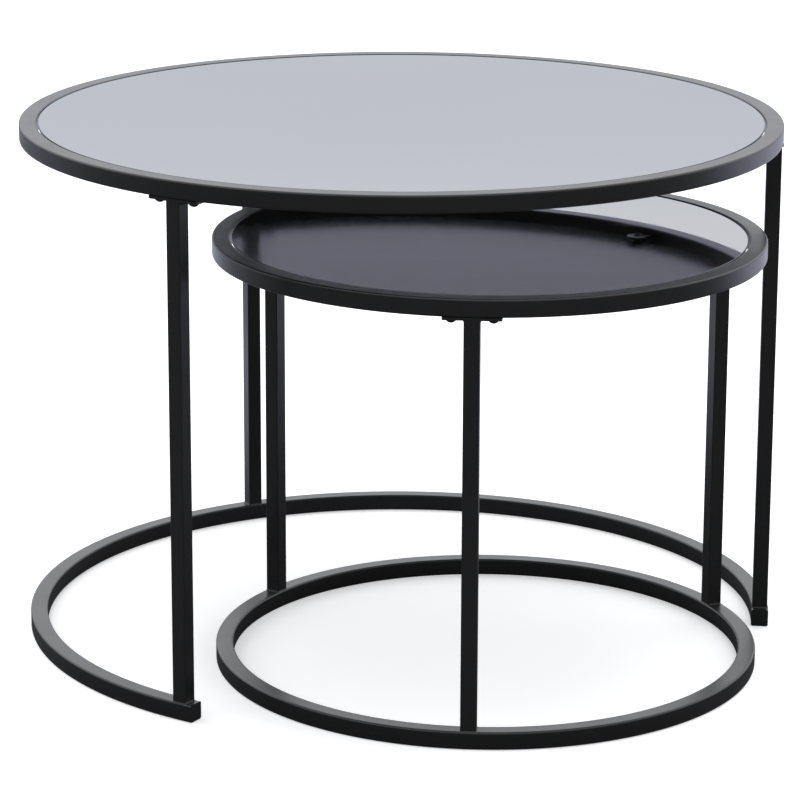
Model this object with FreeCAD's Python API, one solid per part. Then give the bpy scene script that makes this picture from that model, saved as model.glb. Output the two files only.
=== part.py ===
import FreeCAD, Part
import os
from math import asin, cos, degrees, pi, radians, sin, sqrt

# A pair of round nesting tables.  Each has a mirrored glass top set into a rolled ring of square steel
# tube, three square legs bolted up into that ring, and a base ring of the same tube on the floor.  The
# large table's base ring is open at the front, between two of its legs, so that the small table slides
# in underneath.  Millimetres, +Z up.  The origin is on the floor, at the middle of the pair's plan.

V = FreeCAD.Vector
UP = V(0, 0, 1)
AXIS_FOOT = V(0, 0, 0)

# Overall sizes
LARGE_DIAMETER = 700.0
LARGE_HEIGHT = 482.0
SMALL_DIAMETER = 496.0
SMALL_HEIGHT = 397.0

# Leg directions about each table's centre, in degrees from +X: the first leg, the rest at equal steps.
# The large table's first two legs stand on either side of the opening in its base ring.
LARGE_FIRST_LEG = -123.5
SMALL_FIRST_LEG = -94.7
LARGE_LEGS = ("front_left", "front_right", "back")
SMALL_LEGS = ("front", "back_right", "back_left")

# Where the small table stands: drawn out along the middle of the opening, and to the right of that line
DRAWN_OUT = 137.0
SIDE_OFFSET = 20.0

# Square tube of the rings and of the legs: outside size, wall and outside corner radius, and the least
# radius that the bore's corners may have
RING_TUBE = 16.0
RING_WALL = 1.2
RING_CORNER = 1.8
LEG_TUBE = 14.0
LEG_WALL = 1.2
LEG_CORNER = 1.2
LEAST_INNER_CORNER = 0.1

# Ends of the open base ring: length past the leg's side face, with the welded cap included
END_OVERHANG = 6.0
CAP_THICKNESS = 1.5

# Holes in the base ring's upper wall that vent each leg's bore
VENT_DIAMETER = 5.0

# Mirror glass, silvered and painted on its underside
GLASS_THICKNESS = 3.0
GLASS_EDGE_GRIND = 0.5
GLASS_SET_DOWN = 0.5
GLASS_EDGE_GAP = 1.5

# Tabs inside the top ring that carry the glass: round-ended plates, each with a rubber cone on a screw
TAB_COUNT = 4
TAB_FROM_LEG = 46.8
TAB_THICKNESS = 2.0
TAB_WIDTH = 20.0
TAB_SCREW_INSET = 12.0
TAB_LIFT = 6.5
BUMPER_FOOT_DIAMETER = 12.0
BUMPER_TIP_DIAMETER = 8.0
TAB_SCREW_DIAMETER = 3.5
TAB_SCREW_HEAD_DIAMETER = 8.0
TAB_SCREW_HEAD_HEIGHT = 2.2
CROSS_WIDTH = 1.0
CROSS_LENGTH = 4.4
CROSS_DEPTH = 1.3

# Plates on top of the legs, their button-head screws and the rivet nuts in the top ring
PLATE_THICKNESS = 2.5
PLATE_SETBACK = 0.5
PLATE_END_MARGIN = 7.5
PLATE_CORNER = 2.0
SCREW_FROM_LEG = 10.8
SCREW_DIAMETER = 5.0
SCREW_LENGTH = 10.0
SCREW_HEAD_DIAMETER = 10.0
SCREW_HEAD_HEIGHT = 3.7
SOCKET_ACROSS_FLATS = 3.0
SOCKET_DEPTH = 1.5
NUT_BODY_DIAMETER = 7.0
NUT_COLLAR_HEIGHT = 2.5
NUT_LENGTH = 9.0
WELD_LEG = 3.0

# Clearances
NUT_COLLAR_CLEARANCE = 1.8
SCREW_HOLE_CLEARANCE = 0.5
TAB_SCREW_BELOW_GLASS = 1.0
THREAD_CLEARANCE = 0.05
BLIND_HOLE_CLEARANCE = 0.3
CUT_THROUGH = 1.0

# Distance between the two screws of a plate, one on each side of the leg, and the width of a rivet nut's
# collar, which lies inside the ring's bore
SCREW_SPACING = LEG_TUBE + 2 * SCREW_FROM_LEG
NUT_COLLAR_DIAMETER = RING_TUBE - 2 * (RING_WALL + NUT_COLLAR_CLEARANCE)


def rounded_square(side, corner, to_space):
    """Closed wire of a square with rounded corners; to_space turns its flat (a, b) into a point."""
    half = side / 2
    flat = half - corner
    bulge = flat + corner * sqrt(0.5)

    def point(a, b, quarter):
        for _ in range(quarter):
            a, b = -b, a
        return to_space(a, b)

    edges = []
    for quarter in range(4):
        corner_start = point(half, flat, quarter)
        corner_end = point(flat, half, quarter)
        edges.append(Part.makeLine(point(half, -flat, quarter), corner_start))
        edges.append(Part.Arc(corner_start, point(bulge, bulge, quarter), corner_end).toShape())
    return Part.Wire(edges)


def tube_section(side, wall, corner, to_space):
    """Face of a square tube's wall, between its outer and inner outlines."""
    outer = rounded_square(side, corner, to_space)
    inner = rounded_square(side - 2 * wall, max(corner - wall, LEAST_INNER_CORNER), to_space)
    return Part.makeFace([outer, inner], "Part::FaceMakerBullseye")


def on_ring(shape, radius, direction):
    """Copy of a shape drawn at the origin with +X outward, moved out to a radius and a direction."""
    return shape.translated(V(radius, 0, 0)).rotated(AXIS_FOOT, UP, direction)


def cylinder(diameter, bottom, top):
    """Upright cylinder on the origin's axis between two heights."""
    return Part.makeCylinder(diameter / 2, top - bottom, V(0, 0, bottom), UP)


def ring_section(radius, middle_height):
    """Mapping that stands a section upright at a ring's centreline radius."""
    return lambda a, b: V(radius + a, 0, middle_height + b)


def ring_tube(radius, bottom, start, sweep):
    """Rolled square tube with its underside at the height bottom, from one direction through a sweep."""
    to_space = ring_section(radius, bottom + RING_TUBE / 2)
    section = tube_section(RING_TUBE, RING_WALL, RING_CORNER, to_space)
    return section.revolve(AXIS_FOOT, UP, sweep).rotated(AXIS_FOOT, UP, start)


def end_cap(radius, start, sweep):
    """Solid slice of the tube's outline, which closes one end of the open base ring."""
    outline = rounded_square(RING_TUBE, RING_CORNER, ring_section(radius, RING_TUBE / 2))
    return Part.Face(outline).revolve(AXIS_FOOT, UP, sweep).rotated(AXIS_FOOT, UP, start)


def domed_screw(shank_diameter, head_diameter, head_height, underside, tip):
    """Upright screw with a spherical cap of a head below the height underside and a shank up to its tip."""
    radius = head_diameter / 2
    sphere_radius = (radius ** 2 + head_height ** 2) / (2 * head_height)
    sphere_middle = underside - head_height + sphere_radius
    half_angle = asin(radius / sphere_radius) / 2
    foot = V(0, 0, underside - head_height)
    halfway = V(sphere_radius * sin(half_angle), 0, sphere_middle - sphere_radius * cos(half_angle))
    rim = V(radius, 0, underside)
    shank_foot = V(shank_diameter / 2, 0, underside)
    shank_top = V(shank_diameter / 2, 0, tip)
    outline = Part.Wire([
        Part.Arc(foot, halfway, rim).toShape(),
        Part.makeLine(rim, shank_foot),
        Part.makeLine(shank_foot, shank_top),
        Part.makeLine(shank_top, V(0, 0, tip)),
        Part.makeLine(V(0, 0, tip), foot),
    ])
    return Part.Face(outline).revolve(AXIS_FOOT, UP, 360)


def plate_screw(plate_underside):
    """Button-head screw with a hexagon socket, pointing up from under the plate."""
    tip = plate_underside + SCREW_LENGTH
    screw = domed_screw(SCREW_DIAMETER, SCREW_HEAD_DIAMETER, SCREW_HEAD_HEIGHT, plate_underside, tip)
    head_end = plate_underside - SCREW_HEAD_HEIGHT
    circumradius = SOCKET_ACROSS_FLATS / sqrt(3)
    turns = [k * pi / 3 for k in range(7)]
    corners = [V(circumradius * cos(turn), circumradius * sin(turn), head_end) for turn in turns]
    socket = Part.Face(Part.makePolygon(corners)).extrude(V(0, 0, SOCKET_DEPTH))
    return screw.cut(socket)


def rivet_nut(ring_underside):
    """Threaded insert squeezed into the ring's lower wall, with its collar above that wall."""
    body = cylinder(NUT_BODY_DIAMETER, ring_underside, ring_underside + NUT_LENGTH)
    collar_bottom = ring_underside + RING_WALL
    collar = cylinder(NUT_COLLAR_DIAMETER, collar_bottom, collar_bottom + NUT_COLLAR_HEIGHT)
    bore = cylinder(SCREW_DIAMETER + 2 * THREAD_CLEARANCE, ring_underside, ring_underside + NUT_LENGTH)
    return body.fuse(collar).removeSplitter().cut(bore)


def leg_plate(underside):
    """Flat plate across the leg's top, long way along the ring, with its two screw holes."""
    width = RING_TUBE - 2 * PLATE_SETBACK
    length = SCREW_SPACING + 2 * PLATE_END_MARGIN
    plate = Part.makeBox(width, length, PLATE_THICKNESS, V(-width / 2, -length / 2, underside))
    upright = [edge for edge in plate.Edges if edge.BoundBox.ZLength > PLATE_THICKNESS / 2]
    plate = plate.makeFillet(PLATE_CORNER, upright)
    hole = cylinder(SCREW_DIAMETER + SCREW_HOLE_CLEARANCE, underside, underside + PLATE_THICKNESS)
    for side in (-1, 1):
        plate = plate.cut(hole.translated(V(0, side * SCREW_SPACING / 2, 0)))
    return plate


def leg_tube(bottom, top):
    """Square tube with a concave weld bead along each side where it meets the plate above."""
    section = tube_section(LEG_TUBE, LEG_WALL, LEG_CORNER, lambda a, b: V(a, b, bottom))
    leg = section.extrude(V(0, 0, top - bottom))
    half = LEG_TUBE / 2
    flat = half - LEG_CORNER
    hollow = WELD_LEG * (1 - sqrt(0.5))
    for side in (-1, 1):
        root = V(-flat, side * half, top)
        along_plate = V(-flat, side * (half + WELD_LEG), top)
        down_leg = V(-flat, side * half, top - WELD_LEG)
        middle = V(-flat, side * (half + hollow), top - hollow)
        outline = Part.Wire([
            Part.makeLine(root, along_plate),
            Part.Arc(along_plate, middle, down_leg).toShape(),
            Part.makeLine(down_leg, root),
        ])
        leg = leg.fuse(Part.Face(outline).extrude(V(2 * flat, 0, 0)))
    return leg


def glass_tab(bore, wall_radius, bottom):
    """Round-ended plate welded to the ring's inner wall, with a hole for its screw."""
    top = bottom + TAB_THICKNESS
    screw_radius = wall_radius - TAB_SCREW_INSET
    corner = V(screw_radius, -TAB_WIDTH / 2, bottom)
    strip = Part.makeBox(TAB_SCREW_INSET, TAB_WIDTH, TAB_THICKNESS, corner)
    end = cylinder(TAB_WIDTH, bottom, top).translated(V(screw_radius, 0, 0))
    inside_ring = cylinder(2 * wall_radius, bottom, top)
    tab = strip.fuse(end).removeSplitter().common(inside_ring)
    return tab.cut(cylinder(bore, bottom, top).translated(V(screw_radius, 0, 0)))


def tab_bumper(bottom, top, bore_top):
    """Rubber cone between a tab and the glass, with a blind hole that the screw cuts its thread in."""
    foot_radius = BUMPER_FOOT_DIAMETER / 2
    cone = Part.makeCone(foot_radius, BUMPER_TIP_DIAMETER / 2, top - bottom, V(0, 0, bottom), UP)
    return cone.cut(cylinder(TAB_SCREW_DIAMETER + 2 * THREAD_CLEARANCE, bottom, bore_top))


def tab_screw(underside, tip):
    """Pan-head screw with a cross recess, pointing up through the tab into its rubber cone."""
    screw = domed_screw(TAB_SCREW_DIAMETER, TAB_SCREW_HEAD_DIAMETER, TAB_SCREW_HEAD_HEIGHT, underside, tip)
    long_half = CROSS_LENGTH / 2
    short_half = CROSS_WIDTH / 2
    corners = []
    for turn in (45, 135, 225, 315):
        for along, across in ((short_half, -short_half), (long_half, -short_half), (long_half, short_half)):
            corner = V(along, across, underside - TAB_SCREW_HEAD_HEIGHT)
            corners.append(FreeCAD.Rotation(UP, turn).multVec(corner))
    recess = Part.Face(Part.makePolygon(corners + corners[:1])).extrude(V(0, 0, CROSS_DEPTH))
    return screw.cut(recess)


def glass_disc(radius, bottom, top):
    """Round sheet of glass with both rims eased by a small flat."""
    disc = cylinder(2 * radius, bottom, top)
    rims = [edge for edge in disc.Edges if edge.Closed]
    return disc.makeChamfer(GLASS_EDGE_GRIND, rims)


def build_table(table, diameter, height, legs, first_leg, open_base):
    """Every piece of one table about its own centre, as {node name: shape}."""
    pieces = {}
    ring_radius = (diameter - RING_TUBE) / 2
    wall_radius = ring_radius - RING_TUBE / 2
    ring_underside = height - RING_TUBE
    plate_underside = ring_underside - PLATE_THICKNESS
    leg_step = 360 / len(legs)
    leg_directions = [first_leg + leg_step * number for number in range(len(legs))]

    # Plate, leg, screws and rivet nuts at each leg
    nuts = []
    screws = []
    nut_holes = []
    for leg, direction in zip(legs, leg_directions):
        tube = leg_tube(RING_TUBE, plate_underside)
        plate = leg_plate(plate_underside)
        pieces[table + "_leg_" + leg] = on_ring(tube, ring_radius, direction)
        pieces[table + "_leg_plate_" + leg] = on_ring(plate, ring_radius, direction)
        for side in (-1, 1):
            along = V(0, side * SCREW_SPACING / 2, 0)
            nuts.append(on_ring(rivet_nut(ring_underside).translated(along), ring_radius, direction))
            screws.append(on_ring(plate_screw(plate_underside).translated(along), ring_radius, direction))
            hole_top = ring_underside + RING_WALL + CUT_THROUGH
            hole = cylinder(NUT_BODY_DIAMETER, ring_underside - CUT_THROUGH, hole_top)
            nut_holes.append(on_ring(hole.translated(along), ring_radius, direction))
    pieces[table + "_rivet_nuts"] = Part.makeCompound(nuts)
    pieces[table + "_plate_screws"] = Part.makeCompound(screws)

    # Top ring
    pieces[table + "_top_ring"] = ring_tube(ring_radius, ring_underside, 0, 360).cut(nut_holes)

    # Tabs, rubber cones and tab screws, then the glass that they carry
    glass_top = height - GLASS_SET_DOWN
    glass_underside = glass_top - GLASS_THICKNESS
    tab_underside = ring_underside + TAB_LIFT
    tab_top = tab_underside + TAB_THICKNESS
    screw_radius = wall_radius - TAB_SCREW_INSET
    screw_tip = glass_underside - TAB_SCREW_BELOW_GLASS
    tab_directions = [first_leg + leg_step + TAB_FROM_LEG + 360 / TAB_COUNT * k for k in range(TAB_COUNT)]
    tab = glass_tab(TAB_SCREW_DIAMETER + SCREW_HOLE_CLEARANCE, wall_radius, tab_underside)
    bumper = tab_bumper(tab_top, glass_underside, screw_tip + BLIND_HOLE_CLEARANCE)
    screw = tab_screw(tab_underside, screw_tip)
    pieces[table + "_glass_tabs"] = Part.makeCompound([on_ring(tab, 0, way) for way in tab_directions])
    for node, piece in (("_tab_bumpers", bumper), ("_tab_screws", screw)):
        copies = [on_ring(piece, screw_radius, way) for way in tab_directions]
        pieces[table + node] = Part.makeCompound(copies)
    pieces[table + "_glass"] = glass_disc(wall_radius - GLASS_EDGE_GAP, glass_underside, glass_top)

    # Base ring, full or open between the first two legs
    vent = cylinder(VENT_DIAMETER, RING_TUBE - RING_WALL - CUT_THROUGH, RING_TUBE + CUT_THROUGH)
    vents = [on_ring(vent, ring_radius, direction) for direction in leg_directions]
    if open_base:
        cap_sweep = degrees(CAP_THICKNESS / ring_radius)
        end_sweep = degrees((LEG_TUBE / 2 + END_OVERHANG) / ring_radius) - cap_sweep
        start = leg_directions[1] - end_sweep
        finish = leg_directions[0] + 360 + end_sweep
        pieces[table + "_base_ring"] = ring_tube(ring_radius, 0, start, finish - start).cut(vents)
        pieces[table + "_base_cap_right"] = end_cap(ring_radius, start - cap_sweep, cap_sweep)
        pieces[table + "_base_cap_left"] = end_cap(ring_radius, finish, cap_sweep)
    else:
        pieces[table + "_base_ring"] = ring_tube(ring_radius, 0, 0, 360).cut(vents)
    return pieces


# The small table's centre from the large one's, along the opening's middle and across it
opening_direction = radians(LARGE_FIRST_LEG + 180 / len(LARGE_LEGS))
outward = V(cos(opening_direction), sin(opening_direction), 0)
rightward = V(-sin(opening_direction), cos(opening_direction), 0)
small_from_large = outward * DRAWN_OUT + rightward * SIDE_OFFSET

# Middle of the pair's plan, measured from the large table's centre, becomes the origin
large_reach = LARGE_DIAMETER / 2
small_reach = SMALL_DIAMETER / 2


def middle_of_reach(small_offset):
    """Middle of the pair's extent along one axis, from the small table's offset along it."""
    highest = max(large_reach, small_offset + small_reach)
    lowest = min(-large_reach, small_offset - small_reach)
    return (highest + lowest) / 2


plan_middle = V(middle_of_reach(small_from_large.x), middle_of_reach(small_from_large.y), 0)
large_centre = plan_middle * -1
small_centre = small_from_large - plan_middle

os.makedirs("parts", exist_ok=True)
large = build_table("large", LARGE_DIAMETER, LARGE_HEIGHT, LARGE_LEGS, LARGE_FIRST_LEG, True)
small = build_table("small", SMALL_DIAMETER, SMALL_HEIGHT, SMALL_LEGS, SMALL_FIRST_LEG, False)
for table_pieces, centre in ((large, large_centre), (small, small_centre)):
    for node, shape in table_pieces.items():
        shape.translated(centre).exportStep("parts/" + node + ".step")
print("large centre", large_centre, "small centre", small_centre, "outward", outward)
print(len(large) + len(small), "nodes")
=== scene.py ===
import math

import bpy
import numpy as np
from mathutils import Euler, Matrix, Vector


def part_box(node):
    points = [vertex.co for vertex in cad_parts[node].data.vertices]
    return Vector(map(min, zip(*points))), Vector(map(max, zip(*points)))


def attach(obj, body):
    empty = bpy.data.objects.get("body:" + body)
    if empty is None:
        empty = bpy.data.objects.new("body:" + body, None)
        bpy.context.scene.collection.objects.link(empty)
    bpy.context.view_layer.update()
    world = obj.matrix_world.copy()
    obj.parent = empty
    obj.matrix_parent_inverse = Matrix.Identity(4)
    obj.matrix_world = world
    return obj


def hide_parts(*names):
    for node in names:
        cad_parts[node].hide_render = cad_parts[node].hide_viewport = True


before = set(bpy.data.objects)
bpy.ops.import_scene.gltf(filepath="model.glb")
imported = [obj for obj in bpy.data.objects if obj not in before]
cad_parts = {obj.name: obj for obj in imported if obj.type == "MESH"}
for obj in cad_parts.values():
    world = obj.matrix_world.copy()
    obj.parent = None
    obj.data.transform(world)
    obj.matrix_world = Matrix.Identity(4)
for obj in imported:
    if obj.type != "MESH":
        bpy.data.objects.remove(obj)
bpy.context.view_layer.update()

# Top rings: one length of square steel tube for each table, rolled into a hoop, butt-welded shut and
# powder-coated satin black.  The ring holds the glass inside it and the legs are bolted up into it.
TUBE_WALL = 0.0012
TUBE_CORNER = 0.0018
CORNER_STEPS = 6
EDGE_HOLD = 0.0004
ROLLED_STEP = 0.006
SHARP_FROM = math.radians(38)
COAT_BLACK = (0.0052, 0.0053, 0.0058, 1.0)
PROUD_GRAIN = (0.02, 0.02, 0.021, 1.0)


def square_outline(side, corner):
    """Points round a square with rounded corners, counter-clockwise, as arrays of (across, up).

    Each quarter is a straight side at half the width, then an arc of radius corner about the point that
    lies that far in from both sides.  Two points just inside each straight side's ends keep it flat.
    """
    half = side / 2
    flat = half - corner
    turn = np.linspace(0, math.pi / 2, CORNER_STEPS + 1)
    across = np.concatenate([[half, half], flat + corner * np.cos(turn)])
    up = np.concatenate([[EDGE_HOLD - flat, flat - EDGE_HOLD], flat + corner * np.sin(turn)])
    quarters = [(across, up), (-up, across), (-across, -up), (up, -across)]
    return np.concatenate([q[0] for q in quarters]), np.concatenate([q[1] for q in quarters])


def grid_faces(rows, columns, join_rows):
    """Quads of a grid of points, joined round its columns and, where asked, round its rows too."""
    row = np.arange(rows if join_rows else rows - 1)[:, None]
    column = np.arange(columns)[None, :]
    next_row = (row + 1) % rows
    next_column = (column + 1) % columns
    corners = [row * columns + column, next_row * columns + column]
    corners += [next_row * columns + next_column, row * columns + next_column]
    return np.stack(corners, axis=-1).reshape(-1, 4)


def new_piece(name, points, faces, material, body):
    """Smooth mesh object from an array of points and a list of faces, riding on one body."""
    mesh = bpy.data.meshes.new(name)
    mesh.from_pydata(points.reshape(-1, 3).tolist(), [], [list(face) for face in faces])
    mesh.shade_smooth()
    mesh.set_sharp_from_angle(angle=SHARP_FROM)
    mesh.materials.append(material)
    piece = bpy.data.objects.new(name, mesh)
    bpy.context.scene.collection.objects.link(piece)
    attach(piece, body)
    return piece


def tube_faces(rows, columns, closed):
    """Faces of a tube whose points are its skin's grid and then its bore's grid, both of the same size.

    The bore's quads are turned round to face into it.  An open tube has a quad at each end between each
    step of the skin's outline and the bore's.
    """
    skin = grid_faces(rows, columns, closed)
    bore = grid_faces(rows, columns, closed)[:, ::-1] + rows * columns
    if closed:
        return np.concatenate([skin, bore])
    here = np.arange(columns)
    after = (here + 1) % columns
    first = np.stack([here, after, after + rows * columns, here + rows * columns], axis=-1)
    last = first[:, ::-1] + (rows - 1) * columns
    return np.concatenate([skin, bore, first, last])


def rolled_tube(centre, radius, bottom, side, start, sweep):
    """Points and faces of a square tube rolled round a vertical axis.

    Each point of the outline, first the skin's and then the bore's, lies radius + across out from the
    centre, turned to each direction of the sweep.
    """
    steps = int(abs(sweep) * radius / ROLLED_STEP)
    closed = abs(sweep) >= 2 * math.pi
    direction = start + np.linspace(0, sweep, steps, endpoint=not closed)[:, None]
    shells = []
    for width, corner in ((side, TUBE_CORNER), (side - 2 * TUBE_WALL, TUBE_CORNER - TUBE_WALL)):
        across, up = square_outline(width, corner)
        out = radius + across[None, :]
        height = bottom + side / 2 + up[None, :] + 0 * direction
        shell = [centre[0] + out * np.cos(direction), centre[1] + out * np.sin(direction), height]
        shells.append(np.stack(shell, axis=-1))
    return np.stack(shells), tube_faces(steps, len(across), closed)


def new_finish(name):
    """New material, with its node tree, its shader and the place on the piece that its patterns read."""
    material = bpy.data.materials.new(name)
    material.use_nodes = True
    tree = material.node_tree
    place = tree.nodes.new("ShaderNodeTexCoord").outputs["Object"]
    return material, tree, tree.nodes["Principled BSDF"], place


def dress(tree, node, sockets):
    """Sets each named socket of a node to its number or colour, or joins it to another node's output."""
    for socket, source in sockets.items():
        if isinstance(source, bpy.types.NodeSocket):
            tree.links.new(source, node.inputs[socket])
        else:
            node.inputs[socket].default_value = source


def add_node(tree, kind, sockets):
    """First output of a new shader node with its sockets dressed."""
    node = tree.nodes.new("ShaderNode" + kind)
    dress(tree, node, sockets)
    return node.outputs[0]


def two_tones(tree, value, dark, light, dark_to=0.0, light_from=1.0):
    """Colour that stays dark up to one value, is light from another, and blends evenly between them."""
    ramp = tree.nodes.new("ShaderNodeValToRGB")
    tree.links.new(value, ramp.inputs["Fac"])
    for stop, position, colour in zip(ramp.color_ramp.elements, (dark_to, light_from), (dark, light)):
        stop.position = position
        stop.color = colour
    return ramp.outputs["Color"]


def powder_coat():
    """Satin powder coat over steel.

    Fine noise about a millimetre across is the orange peel in the bump; a broad noise moves the roughness
    between two values; sparse bright points of a finer noise are grains of powder that stayed proud.
    """
    material, tree, shader, place = new_finish("satin_black_powder_coat")
    peel = add_node(tree, "TexNoise", {"Vector": place, "Scale": 900.0, "Detail": 2.0})
    cloud = add_node(tree, "TexNoise", {"Vector": place, "Scale": 22.0, "Detail": 4.0})
    grain = add_node(tree, "TexNoise", {"Vector": place, "Scale": 2600.0})
    span = {"From Min": 0.3, "From Max": 0.7, "To Min": 0.33, "To Max": 0.4}
    dress(tree, shader, {
        "Base Color": two_tones(tree, grain, COAT_BLACK, PROUD_GRAIN, 0.66, 0.8),
        "Roughness": add_node(tree, "MapRange", {"Value": cloud, **span}),
        "Normal": add_node(tree, "Bump", {"Height": peel, "Strength": 0.12, "Distance": 0.00005}),
        "Specular IOR Level": 0.5,
        "Coat Weight": 0.5,
        "Coat Roughness": 0.25})
    return material


def middle(node):
    """Middle of a CAD node's box."""
    low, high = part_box(node)
    return (low + high) / 2


satin_black = powder_coat()
tables = {}
for table in ("large", "small"):
    low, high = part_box(table + "_top_ring")
    side = high.z - low.z
    ring_radius = (high.x - low.x - side) / 2
    centre = middle(table + "_top_ring")
    tables[table] = {"centre": centre, "radius": ring_radius, "side": side}
    points, faces = rolled_tube(centre, ring_radius, low.z, side, 0.0, 2 * math.pi)
    ring = new_piece(table + "_rim", points, faces, satin_black, table + "_table")
    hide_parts(table + "_top_ring")

# Base rings: the same tube on the floor.  The small table's is a full hoop.  The large table's stops just
# past its two front legs, where a square plate is welded over each end and ground flush.
CAP_THICKNESS = 0.0015


def direction_of(table, node):
    """Direction of a CAD node from its table's centre, in radians from +X."""
    offset = middle(node) - tables[table]["centre"]
    return math.atan2(offset.y, offset.x)


def paint(nodes, material):
    """Gives each named CAD node one finish in place of its plain colour."""
    for node in nodes:
        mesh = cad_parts[node].data
        mesh.materials.clear()
        mesh.materials.append(material)


half_cap = CAP_THICKNESS / 2 / tables["large"]["radius"]
right_end = direction_of("large", "large_base_cap_right") + half_cap
left_end = direction_of("large", "large_base_cap_left") - half_cap + 2 * math.pi
spans = {"large": (right_end, left_end - right_end), "small": (0.0, 2 * math.pi)}
for table, (start, sweep) in spans.items():
    sizes = tables[table]
    points, faces = rolled_tube(sizes["centre"], sizes["radius"], 0.0, sizes["side"], start, sweep)
    ring = new_piece(table + "_foot_ring", points, faces, satin_black, table + "_table")
    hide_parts(table + "_base_ring")
paint(["large_base_cap_left", "large_base_cap_right"], satin_black)

# Legs: thinner square tube, standing on the base ring and welded to it all round, with a flat plate
# welded across the top.  The coat goes on after welding, so leg, plate and beads are one black.
LEG_SIDE = 0.014
LEG_CORNER = 0.0012
LEG_STEPS = 24
LEGS = {"large": ("front_left", "front_right", "back"), "small": ("front", "back_right", "back_left")}


def leg_place(table, leg, out, along, height):
    """Points at a leg: out from the table's centre and along the ring, turned to the leg's direction."""
    direction = direction_of(table, table + "_leg_" + leg)
    centre = tables[table]["centre"]
    reach = tables[table]["radius"] + out
    x = centre.x + reach * math.cos(direction) - along * math.sin(direction)
    y = centre.y + reach * math.sin(direction) + along * math.cos(direction)
    return np.stack(np.broadcast_arrays(x, y, height), axis=-1)


def straight_tube(table, leg, bottom, top):
    """Points and faces of a square tube between two heights: the same outline at every height."""
    height = np.linspace(bottom, top, LEG_STEPS)[:, None]
    shells = []
    for width, corner in ((LEG_SIDE, LEG_CORNER), (LEG_SIDE - 2 * TUBE_WALL, LEG_CORNER / 4)):
        across, up = square_outline(width, corner)
        shells.append(leg_place(table, leg, across[None, :], -up[None, :], height))
    return np.stack(shells), tube_faces(LEG_STEPS, len(across), False)


for table, legs in LEGS.items():
    for leg in legs:
        node = table + "_leg_" + leg
        points, faces = straight_tube(table, leg, tables[table]["side"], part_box(node)[1].z)
        tube = new_piece(node + "_tube", points, faces, satin_black, table + "_table")
        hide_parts(node)
    paint([table + "_leg_plate_" + leg for leg in legs], satin_black)

# Weld beads: hand-laid fillets where each leg meets its plate above and the base ring below.  They are
# hollow-faced, with the overlapping crescents that the torch leaves every millimetre and a half.
PLATE_BEAD = 0.003
FOOT_BEAD = 0.0008
CRESCENT_PITCH = 0.0015
CRESCENT_DEPTH = 0.00016
CRESCENT_BOW = 0.4
CRESCENT_AT_TOES = 0.35
BEAD_HOLLOW = 0.25
BEAD_TAPER = 0.65
ROOT_DEPTH = 0.0002
ROOT_SINK = 0.0001
FOOT_ROOT_DEPTH = 0.0003
TOE_SINK = 0.00005
BEAD_STEPS = 8
PLATE_BEAD_STEPS = 48
FOOT_BEAD_STEPS = 240


def fillet_reach(distance, leg_length):
    """How far each point of a bead's face lies from its root along its two sides, as two arrays.

    Across the face, t goes from the first side's toe to the second's: the reaches are the leg length times
    (1 - t) and t, pulled in by a hollow of sin(pi t).  Along it, a crescent is a rounded saw tooth of the
    distance run, held back by sin(pi t) so that it bows, and it lifts the face between the toes.
    """
    t = np.linspace(0, 1, BEAD_STEPS)[None, :]
    bow = np.sin(math.pi * t)
    crescent = np.abs(np.sin(math.pi * (distance[:, None] / CRESCENT_PITCH - CRESCENT_BOW * bow)))
    share = CRESCENT_AT_TOES + (1 - CRESCENT_AT_TOES) * bow
    lift = CRESCENT_DEPTH * crescent * share - BEAD_HOLLOW * leg_length[:, None] * bow
    first = leg_length[:, None] * (1 - t) + lift * math.sqrt(0.5)
    second = leg_length[:, None] * t + lift * math.sqrt(0.5)
    return first, second


def bead_faces(steps, order):
    """Faces of an open bead: its grid, and a flat face over each end.  An order of -1 turns them round."""
    columns = BEAD_STEPS + 1
    first = list(range(columns))[::-1]
    last = [(steps - 1) * columns + column for column in range(columns)]
    faces = grid_faces(steps, columns, False).tolist() + [first, last]
    return [face[::order] for face in faces]


def plate_bead(table, leg, side, top):
    """Bead under the plate along one side of a leg: along the plate outwards, and down the leg.

    The leg length falls off to about a third at both ends, as the fourth power of the distance from the
    middle.
    """
    run = np.linspace(-1, 1, PLATE_BEAD_STEPS)
    out = run * (LEG_SIDE / 2 - LEG_CORNER)
    length = PLATE_BEAD * (1 - BEAD_TAPER * run ** 4)
    along_plate, down_leg = fillet_reach(out - out[0], length)
    root = np.zeros((len(run), 1))
    along = side * (LEG_SIDE / 2 + np.concatenate([root - ROOT_DEPTH, along_plate], axis=1))
    height = top + ROOT_SINK - np.concatenate([root, down_leg], axis=1)
    points = leg_place(table, leg, out[:, None] + 0 * along, along, height)
    return points, bead_faces(len(run), side)


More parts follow.
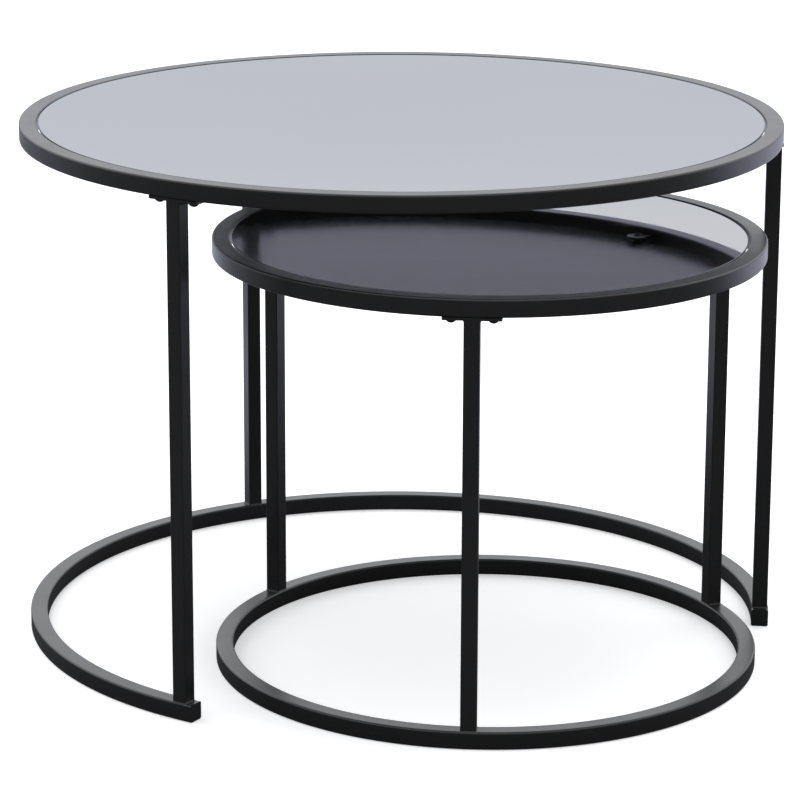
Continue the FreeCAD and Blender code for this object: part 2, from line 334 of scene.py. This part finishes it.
def foot_bead(table, leg, bottom):
    """Bead round a leg's foot: the leg's own outline, and at each point out from it and up the leg.

    The outline's outward direction comes from its neighbours on either side.  Where the ring's top rounds
    off, past its flat, the bead's lower toe drops with the ring's corner arc.
    """
    across, up = square_outline(LEG_SIDE, LEG_CORNER)
    corner_points = np.stack([across, up], axis=-1)
    gaps = np.linalg.norm(np.roll(corner_points, -1, axis=0) - corner_points, axis=1)
    run = np.concatenate([[0], np.cumsum(gaps)])
    distance = np.linspace(0, run[-1], FOOT_BEAD_STEPS, endpoint=False)
    a = np.interp(distance, run, np.append(across, across[0]))
    b = np.interp(distance, run, np.append(up, up[0]))
    travel_a = np.roll(a, -1) - np.roll(a, 1)
    travel_b = np.roll(b, -1) - np.roll(b, 1)
    travel = np.hypot(travel_a, travel_b)
    reach, rise = fillet_reach(distance, np.full(FOOT_BEAD_STEPS, FOOT_BEAD))
    root = np.zeros((FOOT_BEAD_STEPS, 1))
    reach = np.concatenate([root - FOOT_ROOT_DEPTH, reach], axis=1)
    rise = np.concatenate([root, rise], axis=1)
    out = a[:, None] + reach * (travel_b / travel)[:, None]
    along = b[:, None] - reach * (travel_a / travel)[:, None]
    past_flat = np.clip(np.abs(out) - (tables[table]["side"] / 2 - TUBE_CORNER), 0, TUBE_CORNER)
    drop = TUBE_CORNER - np.sqrt(TUBE_CORNER ** 2 - past_flat ** 2)
    height = bottom - TOE_SINK + rise - drop * (1 - rise / FOOT_BEAD)
    faces = grid_faces(FOOT_BEAD_STEPS, BEAD_STEPS + 1, True)
    return leg_place(table, leg, out, along, height), faces


for table, legs in LEGS.items():
    for leg in legs:
        name = table + "_" + leg
        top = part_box(table + "_leg_plate_" + leg)[0].z
        for side, hand in ((1, "_weld_a"), (-1, "_weld_b")):
            points, faces = plate_bead(table, leg, side, top)
            new_piece(name + hand, points, faces, satin_black, table + "_table")
        points, faces = foot_bead(table, leg, tables[table]["side"])
        new_piece(name + "_foot_weld", points, faces, satin_black, table + "_table")

# Leg screws and rivet nuts: button-head screws, chemically blackened and lightly oiled, go up through
# each plate into zinc-plated nuts that are squeezed into the ring's lower wall.
SCREW_BLACK = (0.016, 0.016, 0.017, 1.0)
SCREW_WORN = (0.06, 0.058, 0.055, 1.0)
ZINC_DULL = (0.5, 0.49, 0.44, 1.0)
ZINC_BRIGHT = (0.68, 0.68, 0.66, 1.0)


def mottled_metal(name, dark, light, scale, smooth, rough, metallic):
    """Plated or blackened metal: one noise runs between two colours and, finer, between two roughnesses."""
    material, tree, shader, place = new_finish(name)
    mottle = add_node(tree, "TexNoise", {"Vector": place, "Scale": scale, "Detail": 5.0})
    grain = add_node(tree, "TexNoise", {"Vector": place, "Scale": 6 * scale})
    dress(tree, shader, {
        "Base Color": two_tones(tree, mottle, dark, light, 0.42, 0.72),
        "Roughness": add_node(tree, "MapRange", {"Value": grain, "To Min": smooth, "To Max": rough}),
        "Normal": add_node(tree, "Bump", {"Height": grain, "Strength": 0.2, "Distance": 0.00003}),
        "Metallic": metallic})
    return material


blackened_steel = mottled_metal("blackened_steel", SCREW_BLACK, SCREW_WORN, 420.0, 0.24, 0.42, 0.75)
zinc_plate = mottled_metal("zinc_plate", ZINC_DULL, ZINC_BRIGHT, 260.0, 0.2, 0.4, 1.0)
paint(["large_plate_screws", "small_plate_screws"], blackened_steel)
paint(["large_rivet_nuts", "small_rivet_nuts"], zinc_plate)

# Glass tabs: round-ended steel plates welded inside the top ring before coating, four to a table.  A
# pan-head screw goes up through each tab into a rubber cone, which the glass rests on.
TAB_BEAD = 0.0012
TAB_COUNT = 4
TAB_WIDTH = 0.02
TAB_BEAD_STEPS = 96
RUBBER_BLACK = (0.012, 0.012, 0.012, 1.0)
RUBBER_BLOOM = (0.035, 0.035, 0.036, 1.0)


def tab_directions(table):
    """Directions of a table's tabs: the one nearest +X, then equal steps round.

    The screws repeat every quarter turn, so four times the direction of each of their points is averaged
    round the circle, and a quarter of that is the first tab's direction.
    """
    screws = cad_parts[table + "_tab_screws"].data
    spots = np.array([v.co for v in screws.vertices])[:, :2] - np.array(tables[table]["centre"].xy)
    quarter = 2 * math.pi / TAB_COUNT
    turned = np.exp(1j * TAB_COUNT * np.arctan2(spots[:, 1], spots[:, 0])).mean()
    return [np.angle(turned) / TAB_COUNT + quarter * number for number in range(TAB_COUNT)]


def tab_bead(table, direction, wall, top):
    """Bead on top of a tab: along the ring's inner wall for the tab's width, inwards and up the wall.

    The leg length falls off to about a third at both ends, as the sixth power of the distance from the
    middle.
    """
    run = np.linspace(-1, 1, TAB_BEAD_STEPS)
    turn = direction + run * (TAB_WIDTH / 2 - TAB_BEAD) / wall
    length = TAB_BEAD * (1 - BEAD_TAPER * run ** 6)
    inward, upward = fillet_reach((turn - turn[0]) * wall, length)
    root = np.zeros((len(run), 1))
    out = wall + ROOT_DEPTH - np.concatenate([root, inward], axis=1)
    height = top - TOE_SINK + np.concatenate([root, upward], axis=1)
    centre = tables[table]["centre"]
    x = centre.x + out * np.cos(turn)[:, None]
    y = centre.y + out * np.sin(turn)[:, None]
    return np.stack([x, y, height], axis=-1), bead_faces(len(run), -1)


def moulded_rubber():
    """Black rubber: matt, with a fine pebbled bump and a greyish bloom in soft patches."""
    material, tree, shader, place = new_finish("bumper_rubber")
    bloom = add_node(tree, "TexNoise", {"Vector": place, "Scale": 180.0})
    pebble = add_node(tree, "TexVoronoi", {"Vector": place, "Scale": 2400.0})
    dress(tree, shader, {
        "Base Color": two_tones(tree, bloom, RUBBER_BLACK, RUBBER_BLOOM),
        "Normal": add_node(tree, "Bump", {"Height": pebble, "Strength": 0.4, "Distance": 0.00005}),
        "Roughness": 0.72,
        "Specular IOR Level": 0.35})
    return material


for table, sizes in tables.items():
    paint([table + "_glass_tabs"], satin_black)
    paint([table + "_tab_screws"], blackened_steel)
    inner_wall = sizes["radius"] - sizes["side"] / 2
    tab_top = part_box(table + "_glass_tabs")[1].z
    for number, direction in enumerate(tab_directions(table), 1):
        points, faces = tab_bead(table, direction, inner_wall, tab_top)
        name = table + "_tab_weld_" + str(number)
        new_piece(name, points, faces, satin_black, table + "_table")
rubber = moulded_rubber()
paint(["large_tab_bumpers", "small_tab_bumpers"], rubber)

# Tops: three-millimetre smoked mirror glass, cut round, its edge ground and polished to a soft round.  The
# silvered underside has a dark, half-gloss protective paint, and a fine gap runs all round inside the ring.
GLASS_EDGE = 0.0005
GLASS_EDGE_STEPS = 5
GLASS_STEPS = 360
MIRROR_TINT = (0.505, 0.495, 0.507, 1.0)
MIRROR_TINT_EDGE = (0.52, 0.51, 0.523, 1.0)
PAINT_THICK = (0.02, 0.021, 0.024, 1.0)
PAINT_THIN = (0.028, 0.03, 0.034, 1.0)
EDGE_DEEP = (0.035, 0.05, 0.05, 1.0)
EDGE_PALE = (0.12, 0.15, 0.15, 1.0)
PAINT_SLOT = 2
EDGE_SLOT = 1
MIRROR_SLOT = 0


def glass_disc(centre, radius, bottom, top):
    """Points and faces of a round sheet with rounded rims.

    The half section runs from the lower face's rim round a quarter circle, up the edge, round another
    quarter circle to the upper face's rim, and is turned about the axis.  Each face is one flat polygon.
    """
    turn = np.linspace(-math.pi / 2, 0, GLASS_EDGE_STEPS)
    lower = (radius - GLASS_EDGE * (1 - np.cos(turn)), bottom + GLASS_EDGE * (1 + np.sin(turn)))
    upper = (lower[0][::-1], top - GLASS_EDGE * (1 + np.sin(turn[::-1])))
    out = np.concatenate([lower[0], upper[0]])[:, None]
    height = np.concatenate([lower[1], upper[1]])[:, None]
    direction = np.linspace(0, 2 * math.pi, GLASS_STEPS, endpoint=False)[None, :]
    x = centre.x + out * np.cos(direction)
    y = centre.y + out * np.sin(direction)
    points = np.stack([x, y, height + 0 * direction], axis=-1)
    sides = grid_faces(len(out), GLASS_STEPS, False)[:, ::-1].tolist()
    below = list(range(GLASS_STEPS))[::-1]
    above = [(len(out) - 1) * GLASS_STEPS + step for step in range(GLASS_STEPS)]
    return points, sides + [below, above]


def smoked_mirror():
    """Silvered smoked glass: a tinted mirror metal.

    A broad noise shifts the tint very slightly, a second leaves faint wiped streaks in the roughness, and a
    third bends the surface a few hundredths of a millimetre, as float glass does.
    """
    material, tree, shader, place = new_finish("smoked_mirror_glass")
    depth = add_node(tree, "TexNoise", {"Vector": place, "Scale": 3.0})
    stretch = {"Scale": (1.0, 5.0, 1.0), "Rotation": (0.0, 0.0, 0.7)}
    wipe = add_node(tree, "Mapping", {"Vector": place, **stretch})
    streak = add_node(tree, "TexNoise", {"Vector": wipe, "Scale": 9.0, "Detail": 5.0})
    wave = add_node(tree, "TexNoise", {"Vector": place, "Scale": 7.0, "Detail": 0.0})
    haze = {"From Min": 0.45, "From Max": 0.8, "To Min": 0.012, "To Max": 0.05}
    dress(tree, shader, {
        "Base Color": two_tones(tree, depth, MIRROR_TINT, MIRROR_TINT_EDGE, 0.3, 0.7),
        "Roughness": add_node(tree, "MapRange", {"Value": streak, **haze}),
        "Normal": add_node(tree, "Bump", {"Height": wave, "Strength": 0.3, "Distance": 0.0001}),
        "Metallic": 1.0})
    return material


def polished_glass_edge():
    """Edge of the smoked glass: dark grey-green and glossy, with the fine level lines of the wheel."""
    material, tree, shader, place = new_finish("polished_glass_edge")
    level = add_node(tree, "Mapping", {"Vector": place, "Scale": (30.0, 30.0, 6000.0)})
    lines = add_node(tree, "TexNoise", {"Vector": level, "Scale": 1.0})
    dress(tree, shader, {
        "Base Color": two_tones(tree, lines, EDGE_DEEP, EDGE_PALE),
        "Roughness": 0.12,
        "Coat Weight": 0.6,
        "Coat Roughness": 0.05})
    return material


def mirror_back_paint():
    """Protective paint on the silvered side: dark blue-grey, half gloss, with soft clouds of the roller.

    One stretched noise makes both the tone and the roughness, and a fine one a slight pebble in the bump.
    """
    material, tree, shader, place = new_finish("mirror_back_paint")
    rolled = add_node(tree, "Mapping", {"Vector": place, "Scale": (1.0, 6.0, 1.0)})
    cloud = add_node(tree, "TexNoise", {"Vector": rolled, "Scale": 6.0, "Detail": 5.0})
    pebble = add_node(tree, "TexNoise", {"Vector": place, "Scale": 800.0})
    dress(tree, shader, {
        "Base Color": two_tones(tree, cloud, PAINT_THICK, PAINT_THIN, 0.35, 0.65),
        "Roughness": add_node(tree, "MapRange", {"Value": cloud, "To Min": 0.2, "To Max": 0.27}),
        "Normal": add_node(tree, "Bump", {"Height": pebble, "Strength": 0.05, "Distance": 0.00004}),
        "Specular IOR Level": 0.5})
    return material


mirror = smoked_mirror()
glass_edge = polished_glass_edge()
back_paint = mirror_back_paint()
for table, sizes in tables.items():
    low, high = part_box(table + "_glass")
    points, faces = glass_disc(sizes["centre"], (high.x - low.x) / 2, low.z, high.z)
    top = new_piece(table + "_mirror_top", points, faces, mirror, table + "_table")
    top.data.materials.append(glass_edge)
    top.data.materials.append(back_paint)
    finish = np.full(len(faces), EDGE_SLOT, dtype=np.int32)
    finish[-2:] = (PAINT_SLOT, MIRROR_SLOT)
    top.data.polygons.foreach_set("material_index", finish)
    top.data.polygons.foreach_set("use_smooth", finish == EDGE_SLOT)
    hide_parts(table + "_glass")

# Studio floor: a wide sheet of matt white, lit from above and a little from beneath so that shadows stay
# faint.  Its colour in mirror-like reflections is painted reflection: a painted dark grey under and in
# front of the tables, where nothing lies on the floor, keeps the black steel dark.
FLOOR_HALF = 14.0
FLOOR_DEPTH = 0.0004
FLOOR_WHITE = (0.86, 0.86, 0.865, 1.0)
# Painted reflection: a dark grey the floor shows only in mirror-like reflections, under and in front of the
# tables.
REFLECTED_DARK_GREY = (0.09, 0.09, 0.094, 1.0)
# Painted reflection: tones the floor shows only in reflections, cool behind the tables and grey far to the
# left.
REFLECTED_COOL_TONE = (0.59, 0.6, 0.725, 1.0)
REFLECTED_LEFT_GREY = (0.2, 0.205, 0.24, 1.0)
DARK_REFLECTION_START = 0.75
DARK_REFLECTION_FULL = 0.2
LEFT_START = -0.5
LEFT_FULL = -1.4
UNDER_LIGHT = 0.42
MIX_AMOUNT = 0
MIX_FIRST = 6
MIX_SECOND = 7
MIX_RESULT = 2


def floor_sheet():
    """Square sheet just under z = 0: corners at plus and minus FLOOR_HALF on both axes."""
    corners = np.array([(-1, -1), (1, -1), (1, 1), (-1, 1)]) * FLOOR_HALF
    mesh = bpy.data.meshes.new("studio_floor")
    mesh.from_pydata([(x, y, -FLOOR_DEPTH) for x, y in corners], [], [(0, 1, 2, 3)])
    sheet = bpy.data.objects.new("studio_floor", mesh)
    bpy.context.scene.collection.objects.link(sheet)
    return sheet


def eased(tree, value, start, end, low=0.0, high=1.0):
    """Output that eases from low to high as the value goes from start to end."""
    node = tree.nodes.new("ShaderNodeMapRange")
    node.interpolation_type = "SMOOTHSTEP"
    dress(tree, node, {"Value": value, "From Min": start, "From Max": end, "To Min": low, "To Max": high})
    return node.outputs["Result"]


def mixed_colour(tree, amount, first, second):
    """Colour that goes from the first to the second as the amount goes from 0 to 1.

    Its sockets go by number, because the number, vector and colour mixes share their names.
    """
    node = tree.nodes.new("ShaderNodeMix")
    node.data_type = "RGBA"
    dress(tree, node, {MIX_AMOUNT: amount, MIX_FIRST: first, MIX_SECOND: second})
    return node.outputs[MIX_RESULT]


def worked_out(tree, operation, first, second):
    """Output of one operation on two numbers."""
    node = tree.nodes.new("ShaderNodeMath")
    node.operation = operation
    dress(tree, node, {0: first, 1: second})
    return node.outputs["Value"]


def studio_white():
    """Matt white, seen directly, with its light from beneath; in reflections it shows painted tones
    instead.

    Reflected, it is a painted cool tone behind and a painted grey far to the left, and goes to a painted
    dark grey forwards.
    """
    material, tree, shader, place = new_finish("studio_white")
    split = tree.nodes.new("ShaderNodeSeparateXYZ")
    ray = tree.nodes.new("ShaderNodeLightPath")
    tree.links.new(place, split.inputs["Vector"])
    cloud = add_node(tree, "TexNoise", {"Vector": place, "Scale": 1.5})
    # Painted reflection: mask, by Y, of the dark grey that only reflections of the floor show.
    dark_reflection = eased(tree, split.outputs["Y"], DARK_REFLECTION_START, DARK_REFLECTION_FULL)
    leftward = eased(tree, split.outputs["X"], LEFT_START, LEFT_FULL)
    behind = mixed_colour(tree, leftward, REFLECTED_COOL_TONE, REFLECTED_LEFT_GREY)
    mirrored = mixed_colour(tree, dark_reflection, behind, REFLECTED_DARK_GREY)
    dress(tree, shader, {
        # Painted reflection: glossy rays see the painted tones, every other ray sees the floor's white.
        "Base Color": mixed_colour(tree, ray.outputs["Is Glossy Ray"], FLOOR_WHITE, mirrored),
        "Roughness": add_node(tree, "MapRange", {"Value": cloud, "To Min": 0.78, "To Max": 0.9}),
        "Emission Strength": worked_out(tree, "MULTIPLY", ray.outputs["Is Camera Ray"], UNDER_LIGHT),
        "Emission Color": (1.0, 1.0, 1.0, 1.0),
        "Specular IOR Level": 0.1})
    return material


bpy.context.scene.view_settings.view_transform = "Standard"
floor = floor_sheet()
floor.data.materials.append(studio_white())

# Studio walls and lamp: white paper behind and at both sides, dim in front, and one large softbox above,
# which lights the floor and the coats but is not seen in the mirrors.
WALL_LOW = (0.73, 0.77, 0.825, 1.0)
WALL_HIGH = (1.15, 1.16, 1.18, 1.0)
WALL_BRIGHT = 1.0
WALL_DIM = 0.085
WALL_SPAN = (-0.5, 0.15)
CEILING = 0.75
CEILING_SPAN = (0.1, 0.32)
TINT_SPAN = (0.165, 0.3)
LAMP_SIDE = 3.0
LAMP_POWER = 62.0
LAMP_PLACE = (0.0, 0.3, 3.4)


def studio_walls():
    """World light: bright towards +Y and above, dim low down at -Y, and plain white when seen directly.

    The colour goes from a cool tone near the floor to white with the height of the direction.
    """
    world = bpy.data.worlds.new("studio")
    bpy.context.scene.world = world
    world.use_nodes = True
    tree = world.node_tree
    direction = tree.nodes.new("ShaderNodeTexCoord")
    split = tree.nodes.new("ShaderNodeSeparateXYZ")
    ray = tree.nodes.new("ShaderNodeLightPath")
    tree.links.new(direction.outputs["Generated"], split.inputs["Vector"])
    seen = ray.outputs["Is Camera Ray"]
    front_to_back = eased(tree, split.outputs["Y"], *WALL_SPAN, WALL_DIM, WALL_BRIGHT)
    overhead = eased(tree, split.outputs["Z"], *CEILING_SPAN, 0.0, CEILING)
    brightest = worked_out(tree, "MAXIMUM", front_to_back, overhead)
    climb = eased(tree, split.outputs["Z"], *TINT_SPAN)
    dress(tree, tree.nodes["Background"], {
        "Strength": add_node(tree, "Mix", {"Factor": seen, "A": brightest, "B": 1.0}),
        "Color": mixed_colour(tree, worked_out(tree, "MAXIMUM", climb, seen), WALL_LOW, WALL_HIGH)})


def softbox(name, side, power, place, aim):
    """Square area lamp of a given side at a place, turned to face its aim point and left out of mirrors."""
    lamp = bpy.data.lights.new(name, "AREA")
    lamp.size = side
    lamp.energy = power
    holder = bpy.data.objects.new(name, lamp)
    holder.location = place
    holder.rotation_euler = (Vector(aim) - Vector(place)).to_track_quat("-Z", "Y").to_euler()
    holder.visible_glossy = False
    bpy.context.scene.collection.objects.link(holder)


studio_walls()
softbox("overhead_softbox", LAMP_SIDE, LAMP_POWER, LAMP_PLACE, (0.0, 0.0, 0.0))

# Camera: in front, a little above the tops, with a long lens, looking down on the pair.  It is turned a
# fifth of a degree about its own line of sight.
CAMERA_PLACE = (-0.0004, -3.1615, 1.0834)
CAMERA_PITCH = 0.2687
CAMERA_ROLL = 0.0037
CAMERA_LENS = 157.35

camera_data = bpy.data.cameras.new("camera")
camera_data.lens = CAMERA_LENS
camera = bpy.data.objects.new("camera", camera_data)
level = Euler((math.pi / 2 - CAMERA_PITCH, 0, 0)).to_matrix()
turned = level @ Matrix.Rotation(CAMERA_ROLL, 3, "Z")
camera.matrix_world = Matrix.LocRotScale(Vector(CAMERA_PLACE), turned, None)
bpy.context.scene.collection.objects.link(camera)
bpy.context.scene.camera = camera
